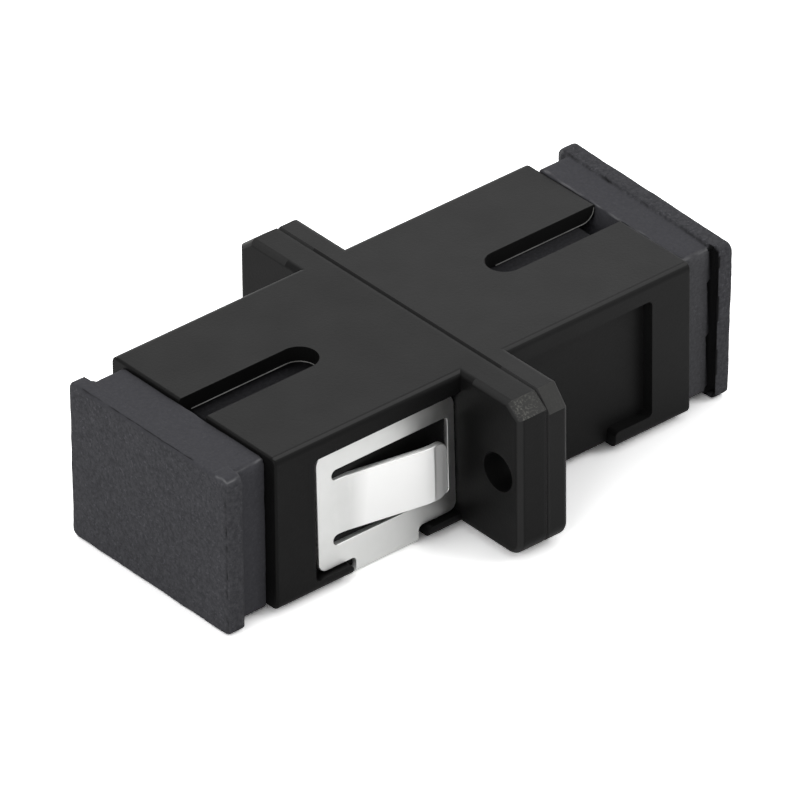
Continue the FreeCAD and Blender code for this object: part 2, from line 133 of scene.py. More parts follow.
# A polished mould leaves the PBT smoother and glossier than the housing, with
# the faint haze of warm resin.
holder_pbt, place = new_material("black_pbt_polished_mould")
haze = add_node(
    holder_pbt, "ShaderNodeTexNoise", {"Scale": per_metre(HAZE_SIZE), "Detail": 3.0},
    {"Vector": place},
)
haze_colour = add_node(
    holder_pbt, "ShaderNodeMix", {6: linear(HOLDER_BLACK), 7: linear(HOLDER_HAZE)},
    {"Factor": haze.outputs["Fac"]}, data_type="RGBA",
)
haze_gloss = add_node(
    holder_pbt, "ShaderNodeMapRange", HOLDER_ROUGHNESS, {"Value": haze.outputs["Fac"]},
)
close_material(
    holder_pbt,
    {"IOR": 1.55},
    {"Base Color": haze_colour.outputs[2], "Roughness": haze_gloss.outputs["Result"]},
)
for side in ("left", "right"):
    dress(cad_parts[f"{side}_sleeve_holder"], holder_pbt)

# -------------------------------------------------------------- housing halves
# Two black shells of glass-filled PBT, welded at the middle of the flange.
# Their moulds are spark eroded, and the glass comes through as pale specks
# where the mould is hard to fill, on the cut corners of the ears.
LEFT_BLACK = "#0a0a0a"
LEFT_GREY = "#0f0f0f"
RIGHT_GREY = "#1c1c1c"
RIGHT_SHARE = 0.6
CORNER_GREY = "#3b3b3a"
SPECK_GREY = "#63635f"
EDGE_HIGHLIGHT_GREY = "#363636"
SATIN_PATCH = 2.4
SATIN_ROUGHNESS = {"From Min": 0.3, "From Max": 0.7, "To Min": 0.42, "To Max": 0.48}
SPARK_GRAIN = 0.14
SPARK_DEPTH = 0.02
GLASS_SPECK = 0.13
SPECK_EDGES = {"From Min": 0.5, "From Max": 0.66}
SPECK_CROWD = (0.4, -1.6)
SPECK_LEAST = 0.06
HALVES_MEET = 0.1
EAR_ROOT = 7.4
BODY_EDGE = 6.7
CORNER_SUM = 18.5
SLANTED = {"From Min": 0.15, "From Max": 0.32}
TOP_OF_ROUND = {"From Min": 0.7, "From Max": 0.82}
EAR_EDGE = {"From Min": 0.15, "From Max": 0.4, "To Max": 0.5}

# Spark erosion leaves a fine even grain: satin, dark on the sides and greyer on
# top. Real grain and glass fibres are finer than this and are drawn coarser, so
# that they show.
housing_pbt, place = new_material("black_glass_filled_pbt_spark_eroded")
grain, speck = [
    add_node(
        housing_pbt, "ShaderNodeTexNoise", {"Scale": per_metre(size), "Detail": 2.0},
        {"Vector": place},
    )
    for size in (SPARK_GRAIN, GLASS_SPECK)
]
patch = add_node(
    housing_pbt, "ShaderNodeTexNoise", {"Scale": per_metre(SATIN_PATCH), "Detail": 4.0},
    {"Vector": place},
)
housing_satin = add_node(
    housing_pbt, "ShaderNodeMapRange", SATIN_ROUGHNESS, {"Value": patch.outputs["Fac"]},
)

# corners and edges are found by where the surface is and which way it faces
spot, facing = [
    add_node(housing_pbt, "ShaderNodeSeparateXYZ", links={"Vector": feed}).outputs
    for feed in (place, place.node.outputs["Normal"])
]
outward, sideways, lengthways = [
    add_node(housing_pbt, "ShaderNodeMath", links={0: feed}, operation="ABSOLUTE").outputs[0]
    for feed in (spot["Y"], facing["Y"], facing["X"])
]
upward = add_node(
    housing_pbt, "ShaderNodeMath", {1: 0.0}, {0: facing["Z"]}, operation="MAXIMUM",
).outputs[0]
out_and_up, crosswise = [
    add_node(housing_pbt, "ShaderNodeMath", links={0: one, 1: other}, operation="ADD").outputs[0]
    for one, other in ((outward, spot["Z"]), (upward, sideways))
]
at_corner, on_ear, on_body = [
    add_node(
        housing_pbt, "ShaderNodeMath", {1: metres(limit)}, {0: feed}, operation=test,
    ).outputs[0]
    for feed, test, limit in (
        (out_and_up, "GREATER_THAN", CORNER_SUM),
        (outward, "GREATER_THAN", EAR_ROOT),
        (outward, "LESS_THAN", BODY_EDGE),
    )
]
side_and_up, end_and_side = [
    add_node(
        housing_pbt, "ShaderNodeMath", links={0: one, 1: other}, operation="MULTIPLY",
    ).outputs[0]
    for one, other in ((sideways, facing["Z"]), (lengthways, crosswise))
]
# the right half is a touch greyer than the left, and
# the specks crowd towards the clip's side of the ears, where the mould fills last
slanted, ear_edge, top_of_round, speck_dot, right_half_share, crowd = [
    add_node(housing_pbt, "ShaderNodeMapRange", span, {"Value": feed}).outputs[0]
    for feed, span in (
        (side_and_up, SLANTED),
        (end_and_side, EAR_EDGE),
        (facing["Z"], TOP_OF_ROUND),
        (speck.outputs["Fac"], SPECK_EDGES),
        (spot["X"], {
            "From Min": metres(-HALVES_MEET), "From Max": metres(HALVES_MEET),
            "To Max": RIGHT_SHARE,
        }),
        (spot["X"], {
            "From Min": metres(SPECK_CROWD[0]), "From Max": metres(SPECK_CROWD[1]),
            "To Min": SPECK_LEAST,
        }),
    )
]
# painted highlight: the top of the body's long edge rounds and the ears' outer edges are painted a
# little paler, where they catch the light
masks = {}
for name, shares in {
    "cut corners": (slanted, at_corner),
    "specks": (speck_dot, slanted, at_corner, crowd),
    "body round highlight": (slanted, on_body, top_of_round),
    "ear edge highlight": (ear_edge, on_ear),
}.items():
    masks[name] = shares[0]
    for share in shares[1:]:
        masks[name] = add_node(
            housing_pbt, "ShaderNodeMath", links={0: masks[name], 1: share},
            operation="MULTIPLY",
        ).outputs[0]
painted_edge_highlight = add_node(
    housing_pbt, "ShaderNodeMath",
    links={0: masks["body round highlight"], 1: masks["ear edge highlight"]}, operation="MAXIMUM",
).outputs[0]

housing_colour = add_node(
    housing_pbt, "ShaderNodeMix", {6: linear(LEFT_BLACK), 7: linear(LEFT_GREY)},
    {"Factor": patch.outputs["Fac"]}, data_type="RGBA",
).outputs[2]
for paint, share in (
    (RIGHT_GREY, right_half_share),
    (CORNER_GREY, masks["cut corners"]),
    (SPECK_GREY, masks["specks"]),
    # painted highlight on the edge rounds that catch the light
    (EDGE_HIGHLIGHT_GREY, painted_edge_highlight),
):
    housing_colour = add_node(
        housing_pbt, "ShaderNodeMix", {7: linear(paint)},
        {"Factor": share, 6: housing_colour}, data_type="RGBA",
    ).outputs[2]
grain_bump = add_node(
    housing_pbt, "ShaderNodeBump", {"Strength": 0.3, "Distance": metres(SPARK_DEPTH)},
    {"Height": grain.outputs["Fac"]},
)
close_material(
    housing_pbt,
    {"IOR": 1.5, "Specular IOR Level": 0.08},
    {
        "Base Color": housing_colour,
        "Roughness": housing_satin.outputs["Result"],
        "Normal": grain_bump.outputs["Normal"],
    },
)
for side in ("left", "right"):
    dress(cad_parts[f"{side}_housing"], housing_pbt)

# ---------------------------------------------------------- slot witness lines
# The two halves of each housing's mould meet at the foot of a key slot's wall
# and leave a fine raised line of the housing's own PBT there, moulded with it.
SLOT_HALF = 1.02
SLOT_FOOT = 8.72
LEFT_SLOT = (-13.2, -6.9)
RIGHT_SLOT = (7.2, 13.2)
MOUTH_CURL = 0.72
HALF_TURN_STEPS = 12
WITNESS_THICK = 0.028
WITNESS_HIGHLIGHT_GREY = "#8f8f8d"
WITNESS_DIM_HIGHLIGHT = "#4b4b49"
HIGHLIGHT_BREAK = 0.5

# The raised line's pale greys are painted highlight, where the foot of the slot wall catches the
# light, broken up by a noise so that it comes and goes.
witness, place = new_material("pbt_witness_line_painted_highlight")
highlight_break = add_node(
    witness, "ShaderNodeTexNoise", {"Scale": per_metre(HIGHLIGHT_BREAK), "Detail": 2.0},
    {"Vector": place},
)
witness_colour = add_node(
    witness, "ShaderNodeMix", {6: linear(WITNESS_DIM_HIGHLIGHT), 7: linear(WITNESS_HIGHLIGHT_GREY)},
    {"Factor": highlight_break.outputs["Fac"]}, data_type="RGBA",
)
close_material(
    witness, {"Roughness": 0.4, "IOR": 1.5}, {"Base Color": witness_colour.outputs[2]},
)

# the left line turns round its slot's blind end, and the right one curls up at the mouth
turn = [pi * step / HALF_TURN_STEPS for step in range(1, 10)]
left_line = [(x, SLOT_HALF, SLOT_FOOT) for x in LEFT_SLOT]
left_line += [
    (LEFT_SLOT[1] + SLOT_HALF * sin(angle), SLOT_HALF * cos(angle), SLOT_FOOT)
    for angle in turn
]
right_line = [(x, SLOT_HALF, SLOT_FOOT) for x in RIGHT_SLOT]
right_line += [
    (
        RIGHT_SLOT[1] + MOUTH_CURL * sin(angle),
        SLOT_HALF,
        SLOT_FOOT + MOUTH_CURL * (1 - cos(angle)),
    )
    for angle in turn[:6]
]
thread = bpy.data.curves.new("slot_witness_lines", "CURVE")
thread.dimensions = "3D"
thread.bevel_depth = metres(WITNESS_THICK)
thread.bevel_resolution = 2
for line in (left_line, right_line):
    spline = thread.splines.new("POLY")
    spline.points.add(len(line) - 1)
    for point, corner in zip(spline.points, line):
        point.co = (*(Vector(corner) / 1000), 1.0)
witness_lines = bpy.data.objects.new("slot_witness_lines", thread)
bpy.context.scene.collection.objects.link(witness_lines)
dress(witness_lines, witness)
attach(witness_lines, "adapter")

# ----------------------------------------------------------------- spring clip
# The panel spring: one blank of cold-rolled stainless strip, sheared out, then
# folded up round the left half from below, with a sprung tongue in each wing.
SHEET = 0.35
EDGE_BREAK = 0.04
BRIDGE_LEVEL = 0.225
BRIDGE_HALF = 5.65
BEND_RADIUS = 0.325
BEND_STEPS = 8
FOLD_ANGLE = radians(91.2)
CLIP_ENDS = (-10.85, -1.69)
BRIDGE_EDGES = (-8.4, -4.2)
BRIDGE_CORNER = 0.25
WING_FOOT = 1.15
WING_HEAD = 8.35
FOOT_CORNER = 0.5
HEAD_CORNER = 0.85
SLOT_END = -9.55
SLOT_LEVELS = (2.4, 3.0, 6.3, 6.9)
CUT_HALF = 0.3
CUT_CORNER = 0.299
WINDOW_EDGE = -2.17
WINDOW_CORNER = 0.2
TONGUE_TIP = -2.97
TONGUE_CORNER = 0.6
TONGUE_CREST = -4.07
TONGUE_RISE = 1.0
TIP_RISE = 0.9
ROOT_BEND = 0.8
CREST_BEND = 1.0
BEND_STATION = 0.1
FLAT_FACING = 0.99
CUT_FACING = 0.3
STRIP_STEEL = "#dcdcdb"
STRIP_CLOUD = "#cecfcd"
STRIP_ROUGHNESS = {"To Min": 0.36, "To Max": 0.46}
TONGUE_HIGHLIGHT_STEEL = "#ececeb"
TONGUE_STANDS = (6.16, 6.34)
TORN_STEEL = "#b4b4b2"
ROLLING_LINE = 0.3
ROLLING_RUN = 5.0
ROLLING_DEPTH = 0.01
CLOUD_SIZE = 1.3
TEAR_GRAIN = 0.12
TEAR_DEPTH = 0.02


def rounded(corners, steps=6):
    """An outline through corners (x, y, radius), with each corner turned into an arc."""
    line = []
    for at, (x, y, radius) in enumerate(corners):
        corner = Vector((x, y))
        before = (Vector(corners[at - 1][:2]) - corner).normalized()
        after = (Vector(corners[(at + 1) % len(corners)][:2]) - corner).normalized()
        half = before.angle(after) / 2
        reach = radius / (sin(half) / cos(half))
        middle = corner + (before + after).normalized() * (radius / sin(half))
        start = corner + before * reach - middle
        end = corner + after * reach - middle
        for step in range(steps + 1):
            share = step / steps
            line.append(middle + (start * (1 - share) + end * share).normalized() * radius)
    return line


def outline_spline(curve, line):
    """Add a closed outline to a flat curve."""
    spline = curve.splines.new("POLY")
    spline.points.add(len(line) - 1)
    for point, (x, y) in zip(spline.points, line):
        point.co = (x, y, 0.0, 1.0)
    spline.use_cyclic_u = True


# the blank lies flat: x as in the frame, u across it from one wing's head to the other's
bend_length = BEND_RADIUS * FOLD_ANGLE
foot = BRIDGE_HALF + bend_length + (WING_FOOT - BRIDGE_LEVEL - BEND_RADIUS)
to_blank = foot - WING_FOOT
head = WING_HEAD + to_blank
far, near = CLIP_ENDS
half_blank = [
    (BRIDGE_EDGES[1], foot, BRIDGE_CORNER),
    (near, foot, FOOT_CORNER),
    (near, head, HEAD_CORNER),
    (far, head, HEAD_CORNER),
    (far, foot, FOOT_CORNER),
    (BRIDGE_EDGES[0], foot, BRIDGE_CORNER),
]
other_half = [(x, -u, radius) for x, u, radius in reversed(half_blank)]
blank = bpy.data.curves.new("clip_blank", "CURVE")
blank.dimensions = "2D"
blank.fill_mode = "BOTH"
blank.extrude = SHEET / 2 - EDGE_BREAK
blank.bevel_depth = EDGE_BREAK
blank.bevel_resolution = 1
blank.offset = -EDGE_BREAK
outline_spline(blank, rounded(half_blank + other_half))

# each wing has one cut-out, which leaves the tongue standing in it from its far end
low, tongue_low, tongue_high, high = [level + to_blank for level in SLOT_LEVELS]
cut_end = SLOT_END - CUT_HALF
cut_out = [
    (cut_end, low, CUT_CORNER),
    (cut_end, tongue_low, CUT_CORNER),
    (TONGUE_TIP, tongue_low, TONGUE_CORNER),
    (TONGUE_TIP, tongue_high, TONGUE_CORNER),
    (cut_end, tongue_high, CUT_CORNER),
    (cut_end, high, CUT_CORNER),
    (WINDOW_EDGE, high, WINDOW_CORNER),
    (WINDOW_EDGE, low, WINDOW_CORNER),
]
for way in (1, -1):
    line = rounded([(x, u * way, radius) for x, u, radius in cut_out])
    outline_spline(blank, line if way == 1 else line[::-1])
blank_piece = bpy.data.objects.new("clip_blank", blank)
bpy.context.scene.collection.objects.link(blank_piece)
evaluated = blank_piece.evaluated_get(bpy.context.evaluated_depsgraph_get())
sheet_mesh = bpy.data.meshes.new_from_object(evaluated)
bpy.data.objects.remove(blank_piece)

# the flat sheet gets an edge across it at every place where it will bend
metal = bmesh.new()
metal.from_mesh(sheet_mesh)
bmesh.ops.remove_doubles(metal, verts=metal.verts, dist=1e-4)
bend_stations = [BRIDGE_HALF + bend_length * step / BEND_STEPS for step in range(BEND_STEPS + 1)]
rise_stations = [SLOT_END + BEND_STATION * step for step in range(-1, 9)]
rise_stations += [TONGUE_CREST + BEND_STATION * step for step in range(-5, 6)]
cuts = [((0.0, way * u, 0.0), (0.0, 1.0, 0.0)) for u in bend_stations for way in (1, -1)]
cuts += [((x, 0.0, 0.0), (1.0, 0.0, 0.0)) for x in rise_stations]
for at, across in cuts:
    bmesh.ops.bisect_plane(
        metal, geom=metal.verts[:] + metal.edges[:] + metal.faces[:],
        dist=1e-5, plane_co=at, plane_no=across,
    )


def tongue_rise(x):
    """How far the tongue stands out of its wing at x, with a soft bend at root and crest."""
    slope = TONGUE_RISE / (TONGUE_CREST - SLOT_END)
    along = x - SLOT_END
    if along <= 0.0:
        return 0.0
    if along < ROOT_BEND:
        return slope * along * along / (2 * ROOT_BEND)
    lost = slope * ROOT_BEND / 2
    rise = slope * (along - ROOT_BEND / 2) + lost * (along / (TONGUE_CREST - SLOT_END))
    past = x - (TONGUE_CREST - CREST_BEND / 2)
    if past > 0.0:
        fall = slope + (TONGUE_RISE - TIP_RISE) / (TONGUE_TIP - TONGUE_CREST)
        bent = min(past, CREST_BEND) ** 2 / (2 * CREST_BEND)
        rise -= fall * (bent + max(past - CREST_BEND, 0.0))
    return rise


def folded(point):
    """Where a point of the flat blank goes when the wings and tongues are bent up."""
    x, u, lift = point
    out = abs(u)
    side = 1.0 if u > 0.0 else -1.0
    radius = BEND_RADIUS - lift
    past = out - BRIDGE_HALF
    if past <= 0.0:
        return Vector((x, u, BRIDGE_LEVEL + lift))
    turned = min(past / BEND_RADIUS, FOLD_ANGLE)
    y = BRIDGE_HALF + radius * sin(turned)
    z = BRIDGE_LEVEL + BEND_RADIUS - radius * cos(turned)
    rest = past - bend_length
    if rest > 0.0:
        y += rest * cos(FOLD_ANGLE)
        z += rest * sin(FOLD_ANGLE)
        level = out - to_blank
        between_cuts = SLOT_LEVELS[0] + CUT_HALF < level < SLOT_LEVELS[3] - CUT_HALF
        if between_cuts and x < (TONGUE_TIP + WINDOW_EDGE) / 2:
            y += tongue_rise(x) * sin(FOLD_ANGLE)
    return Vector((x, y * side, z))


# flats are shaded by the fold itself, so that no facet shows on them
metal.normal_update()
flat_side = {}
for face in metal.faces:
    face.smooth = True
    face.material_index = 1 if abs(face.normal.z) < CUT_FACING else 0
    if abs(face.normal.z) > FLAT_FACING:
        way = 1.0 if face.normal.z > 0.0 else -1.0
        flat_side.update((vertex, way) for vertex in face.verts)
shading = {}
step_x, step_u = Vector((0.01, 0.0, 0.0)), Vector((0.0, 0.001, 0.0))
for vertex in metal.verts:
    flat = vertex.co.copy()
    vertex.co = folded(flat) / 1000
    if vertex in flat_side:
        along_x = folded(flat + step_x) - folded(flat - step_x)
        along_u = folded(flat + step_u) - folded(flat - step_u)
        shading[vertex] = along_x.cross(along_u).normalized() * flat_side[vertex]
bmesh.ops.recalc_face_normals(metal, faces=metal.faces)
metal.normal_update()
metal.verts.index_update()
normals = [shading.get(vertex, vertex.normal).copy() for vertex in metal.verts]
metal.to_mesh(sheet_mesh)
metal.free()
sheet_mesh.normals_split_custom_set_from_vertices(normals)
sheet_mesh.name = "folded_spring_clip"
clip = bpy.data.objects.new("folded_spring_clip", sheet_mesh)
bpy.context.scene.collection.objects.link(clip)
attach(clip, "adapter")
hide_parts("spring_clip")

# The rolls leave the strip bright, with a faint upright grain that smears what it
# mirrors. Real rolling lines are finer than this and are drawn coarser, so that
# they show. The tongues stand out of the wings and are painted brighter, as a painted highlight.
spring_steel, place = new_material("stainless_strip_cold_rolled")
rolling = add_node(
    spring_steel, "ShaderNodeMapping",
    {"Scale": (per_metre(ROLLING_LINE), per_metre(ROLLING_RUN), per_metre(ROLLING_RUN))},
    {"Vector": place},
)
rolled = add_node(
    spring_steel, "ShaderNodeTexNoise", {"Scale": 1.0, "Detail": 3.0},
    {"Vector": rolling.outputs["Vector"]},
)
cloud = add_node(
    spring_steel, "ShaderNodeTexNoise", {"Scale": per_metre(CLOUD_SIZE), "Detail": 4.0},
    {"Vector": place},
)
strip_spot = add_node(spring_steel, "ShaderNodeSeparateXYZ", links={"Vector": place})
strip_out = add_node(
    spring_steel, "ShaderNodeMath", links={0: strip_spot.outputs["Y"]}, operation="ABSOLUTE",
)
on_tongue = add_node(
    spring_steel, "ShaderNodeMapRange",
    {"From Min": metres(TONGUE_STANDS[0]), "From Max": metres(TONGUE_STANDS[1])},
    {"Value": strip_out.outputs[0]},
)
strip_colour = add_node(
    spring_steel, "ShaderNodeMix", {6: linear(STRIP_CLOUD), 7: linear(STRIP_STEEL)},
    {"Factor": cloud.outputs["Fac"]}, data_type="RGBA",
)
# painted highlight: the tongues' paler steel
strip_colour = add_node(
    spring_steel, "ShaderNodeMix", {7: linear(TONGUE_HIGHLIGHT_STEEL)},
    {"Factor": on_tongue.outputs["Result"], 6: strip_colour.outputs[2]}, data_type="RGBA",
)
rolled_gloss = add_node(
    spring_steel, "ShaderNodeMapRange", STRIP_ROUGHNESS, {"Value": rolled.outputs["Fac"]},
)
rolled_bump = add_node(
    spring_steel, "ShaderNodeBump", {"Strength": 0.2, "Distance": metres(ROLLING_DEPTH)},
    {"Height": rolled.outputs["Fac"]},
)
along_strip = add_node(spring_steel, "ShaderNodeTangent", direction_type="RADIAL", axis="Z")
close_material(
    spring_steel,
    {"Metallic": 1.0, "Anisotropic": 0.7},
    {
        "Base Color": strip_colour.outputs[2],
        "Roughness": rolled_gloss.outputs["Result"],
        "Normal": rolled_bump.outputs["Normal"],
        "Tangent": along_strip.outputs["Tangent"],
    },
)

# Shearing leaves part of each cut edge shiny and the rest torn, dull and grey.
cut_steel, place = new_material("stainless_strip_sheared_edge")
tear = add_node(
    cut_steel, "ShaderNodeTexNoise", {"Scale": per_metre(TEAR_GRAIN), "Detail": 3.0},
    {"Vector": place},
)
tear_colour = add_node(
    cut_steel, "ShaderNodeMix", {6: linear(TORN_STEEL), 7: linear(STRIP_STEEL)},
    {"Factor": tear.outputs["Fac"]}, data_type="RGBA",
)
tear_bump = add_node(
    cut_steel, "ShaderNodeBump", {"Strength": 0.4, "Distance": metres(TEAR_DEPTH)},
    {"Height": tear.outputs["Fac"]},
)
close_material(
    cut_steel,
    {"Metallic": 0.6, "Roughness": 0.5},
    {"Base Color": tear_colour.outputs[2], "Normal": tear_bump.outputs["Normal"]},
)
dress(clip, spring_steel, cut_steel)

# ------------------------------------------------------------------- dust caps
# A cap in each end: dark grey thermoplastic elastomer, moulded in one piece
# from a worn tool and pushed in by hand. Its edges waver, and it keeps the
# seam and the thin flash of the mould.
CAP_GREY = "#343437"
CAP_PALE = "#444447"
CAP_DUST = "#4b4b4f"
CAP_FLASH_AND_LIGHT = "#707072"
CAP_BLOOM = "#414145"
CAP_SEAM_SHADE = "#121213"
CAP_GRAIN = 0.2
CAP_GRAIN_EDGES = {"From Min": 0.36, "From Max": 0.64}
CAP_GRAIN_DEPTH = 0.04
CAP_DOT = 0.17
CAP_DOT_EDGES = {"From Min": 0.62, "From Max": 0.74}
CAP_SKIN = 0.105
CAP_WAVE = 1.1
CAP_WAVE_DEPTH = 0.045
CAP_PIT = 0.4
CAP_PIT_DEPTH = 0.02
CAP_TWIST = radians(1.8)
CAP_MIDDLES = {"left": (-13.95, 4.75), "right": (14.0, 5.0)}
SOCKET_MOUTH = -0.2
SEAM_WIDTH = 0.07
SEAM_DEPTH = 0.06
FLASH_WIDTH = 0.07
LINE_WAVER = 0.08
LINE_WAVER_RATE = 1.7
LINE_WAVER_SEED = 1
LINE_BREAK_RATE = 1.3
LINE_BREAK_START = Vector((7.0, 0.0, 0.0))
LINE_KEPT = 0.8
LINE_KEPT_SPREAD = 1.44
COLLAR_END = 1.85
COLLAR_SIDE = 5.45
COLLAR_BLOOM = 0.65
SIDE_PAINTED_LIGHT = 0.22
PLATE_TOP = 4.5
PLUG_SHADE = 0.6
SCRAPED = 0.13
SCRAPED_OUT = 1.9
SCRAPED_ACROSS = (-6.2, 5.0)
SCRAPED_UP = 4.6
UNDERCUT = 0.45
UNDERCUT_OUT = (1.6, 2.3)
UNDERCUT_FACING = -0.3
UNDERCUT_EDGE = 5.5
UNDERCUT_ACROSS = (5.6, 6.2)
UNDERCUT_SLOPE = 0.1

# seams and flash run through these points of each cap, in millimetres: out of the
# socket, across to the near side, and up from the cap's own middle
CAP_LINES = {
    "left": {
        "seam_and_shade": [
            [(2.93, -5.3, 4.7), (2.9, -2.0, 4.72), (2.93, 1.2, 4.7), (2.9, 3.4, 4.72)],
            [(2.96, 6.1, 4.2), (2.95, 6.12, 0.0), (2.96, 6.1, -4.4)],
        ],
        "flash_and_light": [
            [
                (2.95, 5.4, 4.7), (2.94, 6.0, 4.66), (2.92, 6.2, 4.56),
                (2.4, 6.22, 4.6), (2.05, 6.15, 4.66), (1.96, 5.8, 4.6),
            ],
            [(1.9, 5.6, 4.48), (1.0, 5.58, 4.48), (0.05, 5.5, 4.54)],
        ],
    },
    "right": {
        "seam_and_shade": [[(1.95, -5.5, 4.6), (1.93, -2.0, 4.6), (1.96, 1.0, 4.6), (1.93, 5.4, 4.6)]],
        "flash_and_light": [
            [(0.03, -5.2, 4.57), (0.03, 0.0, 4.57), (0.03, 4.8, 4.57)],
            [(0.0, 5.55, 4.5), (0.9, 5.58, 4.48), (1.9, 5.58, 4.48)],
            [(2.05, -6.1, 4.66), (2.5, -6.22, 4.6), (2.9, -6.15, 4.6)],
            [(1.97, -6.0, 4.6), (1.98, -6.2, 4.35), (1.97, -6.2, 3.9)],
        ],
    },
}


def copy_of(node_name, piece_name):
    """A new piece with a CAD node's shape, its facets joined into whole faces."""
    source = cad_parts[node_name].data
    mesh = bpy.data.meshes.new(piece_name)
    mesh.from_pydata([v.co for v in source.vertices], [], [f.vertices[:] for f in source.polygons])
    work = bmesh.new()
    work.from_mesh(mesh)
    bmesh.ops.remove_doubles(work, verts=work.verts, dist=1e-7)
    bmesh.ops.dissolve_limit(work, angle_limit=radians(0.5), verts=work.verts, edges=work.edges)
    bmesh.ops.recalc_face_normals(work, faces=work.faces)
    work.to_mesh(mesh)
    work.free()
    piece = bpy.data.objects.new(piece_name, mesh)
    bpy.context.scene.collection.objects.link(piece)
    return piece


def moulded(piece, voxel):
    """Turn a piece into one even skin of small faces, as soft moulded stuff is."""
    skin = piece.modifiers.new("skin", "REMESH")
    skin.mode = "VOXEL"
    skin.voxel_size = voxel
    skin.use_smooth_shade = True
    whole = piece.evaluated_get(bpy.context.evaluated_depsgraph_get())
    mesh = bpy.data.meshes.new_from_object(whole)
    piece.modifiers.clear()
    piece.data = mesh


def own_place(side, point):
    """A point of the frame in a cap's own directions, in millimetres."""
    x, y, z = point * 1000
    mouth, middle = CAP_MIDDLES[side]
    z -= middle
    if side == "left":
        return Vector((mouth - x, -y, z))
    level_y = y * cos(CAP_TWIST) + z * sin(CAP_TWIST)
    level_z = z * cos(CAP_TWIST) - y * sin(CAP_TWIST)
    return Vector((x - mouth, -level_y, level_z))


def line_distance(point, line):
    """How far a point is from a line of points."""
    gap = 1e9
    for start, end in zip(line, line[1:]):
        nearest, share = geometry.intersect_point_line(point, start, end)
        nearest = start if share < 0.0 else end if share > 1.0 else nearest
        gap = min(gap, (point - nearest).length)
    return gap


def clamped(value):
    """A value held between nothing and one."""
    return min(1.0, max(0.0, value))


# Dry elastomer barely shines and looks dusty. Its grit and dust are finer than
# this and are drawn coarser, so that they show.
cap_rubber, place = new_material("grey_elastomer_dry_moulded")
grit = add_node(
    cap_rubber, "ShaderNodeTexNoise",
    {"Scale": per_metre(CAP_GRAIN), "Detail": 4.0, "Roughness": 0.7}, {"Vector": place},
)
dot = add_node(
    cap_rubber, "ShaderNodeTexNoise", {"Scale": per_metre(CAP_DOT), "Detail": 1.0},
    {"Vector": place},
)
pale, dust = [
    add_node(cap_rubber, "ShaderNodeMapRange", span, {"Value": pattern.outputs["Fac"]}).outputs[0]
    for pattern, span in ((grit, CAP_GRAIN_EDGES), (dot, CAP_DOT_EDGES))
]
flash_and_light_share, bloom_share, seam_and_shade_share = [
    add_node(cap_rubber, "ShaderNodeAttribute", attribute_name=name).outputs["Fac"]
    for name in ("flash_and_light", "bloom", "seam_and_shade")
]
cap_colour = add_node(
    cap_rubber, "ShaderNodeMix", {6: linear(CAP_GREY), 7: linear(CAP_PALE)},
    {"Factor": pale}, data_type="RGBA",
).outputs[2]
for paint, share in (
    (CAP_DUST, dust),
    # the flash grey also paints light on the right collar's near side
    (CAP_FLASH_AND_LIGHT, flash_and_light_share),
    (CAP_BLOOM, bloom_share),
    # painted shade: the seams, the plug in the socket and the right plate's undercut
    (CAP_SEAM_SHADE, seam_and_shade_share),
):
    cap_colour = add_node(
        cap_rubber, "ShaderNodeMix", {7: linear(paint)},
        {"Factor": share, 6: cap_colour}, data_type="RGBA",
    ).outputs[2]
cap_bump = add_node(
    cap_rubber, "ShaderNodeBump", {"Strength": 0.5, "Distance": metres(CAP_GRAIN_DEPTH)},
    {"Height": grit.outputs["Fac"]},
)
close_material(
    cap_rubber,
    {"IOR": 1.5, "Roughness": 0.85, "Specular IOR Level": 0.1},
    {"Base Color": cap_colour, "Normal": cap_bump.outputs["Normal"]},
)

